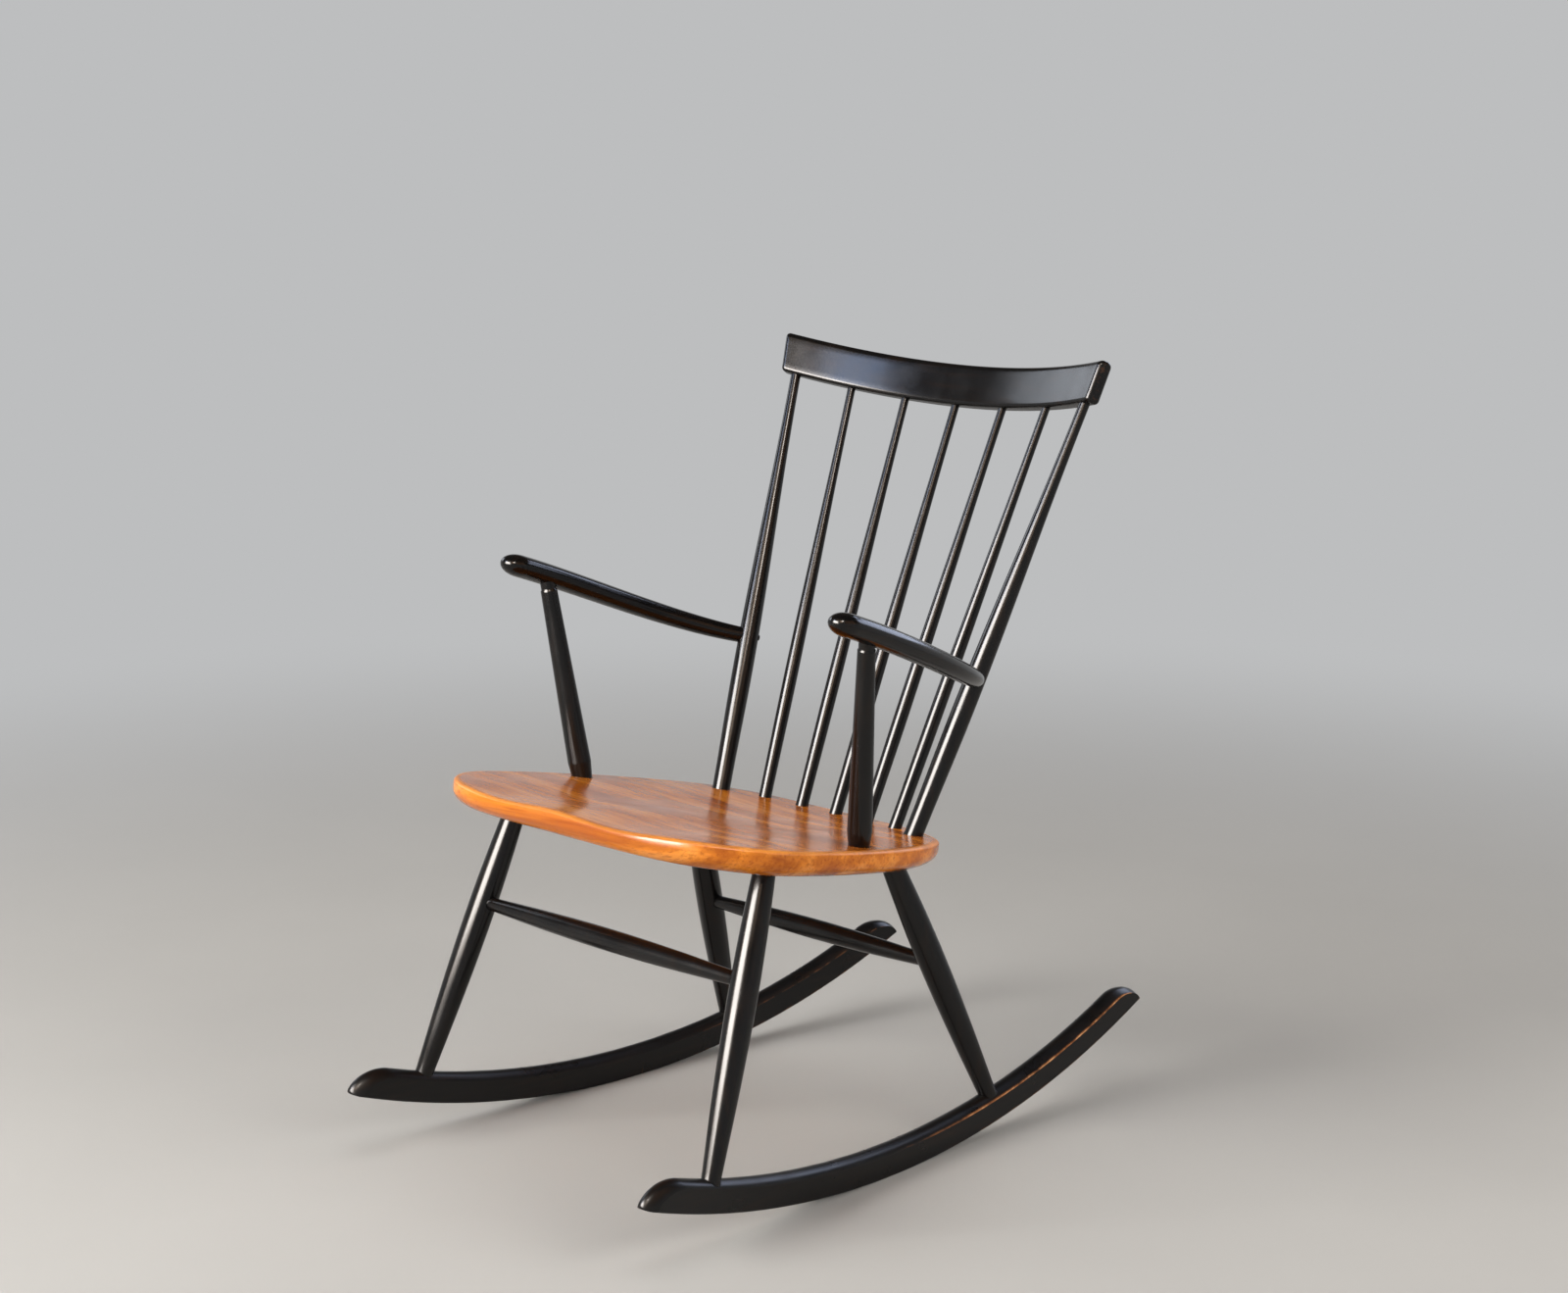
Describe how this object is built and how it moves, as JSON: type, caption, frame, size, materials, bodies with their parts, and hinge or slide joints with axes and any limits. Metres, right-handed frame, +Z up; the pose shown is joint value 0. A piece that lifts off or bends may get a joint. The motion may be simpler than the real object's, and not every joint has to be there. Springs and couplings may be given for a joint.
{
  "type": "rocking chair",
  "caption": "Spindle-back wooden rocking chair: a saddled seat on splayed turned legs and curved rockers, with a bent crest rail and shaped arms on turned posts.",
  "frame": {"origin": "on the floor, under the centre of the chair's bounding box", "axes": "+Z up; the sitter faces -Y; +X is the sitter's left"},
  "size_m": [0.5798, 0.8664, 0.9024],
  "materials": {
    "black_lacquer": "turned or sawn hardwood under black semi-gloss lacquer, worn brown on the arrises",
    "oiled_teak": "satin oiled teak-coloured wood, grain from side to side",
    "blackened_steel": "dark domed screw"
  },
  "bodies": {
    "root": {"seat": "oiled_teak", "left_rocker": "black_lacquer", "right_rocker": "black_lacquer", "front_left_leg": "black_lacquer", "front_right_leg": "black_lacquer", "rear_left_leg": "black_lacquer", "rear_right_leg": "black_lacquer", "front_stretcher": "black_lacquer", "rear_stretcher": "black_lacquer", "left_back_post": "black_lacquer", "right_back_post": "black_lacquer", "back_spindle_1": "black_lacquer", "back_spindle_2": "black_lacquer", "back_spindle_3": "black_lacquer", "back_spindle_4": "black_lacquer", "back_spindle_5": "black_lacquer", "crest_rail": "black_lacquer", "left_arm": "black_lacquer", "right_arm": "black_lacquer", "left_arm_post": "black_lacquer", "right_arm_post": "black_lacquer", "left_arm_screw": "blackened_steel", "right_arm_screw": "blackened_steel"}
  },
  "joints": []
}
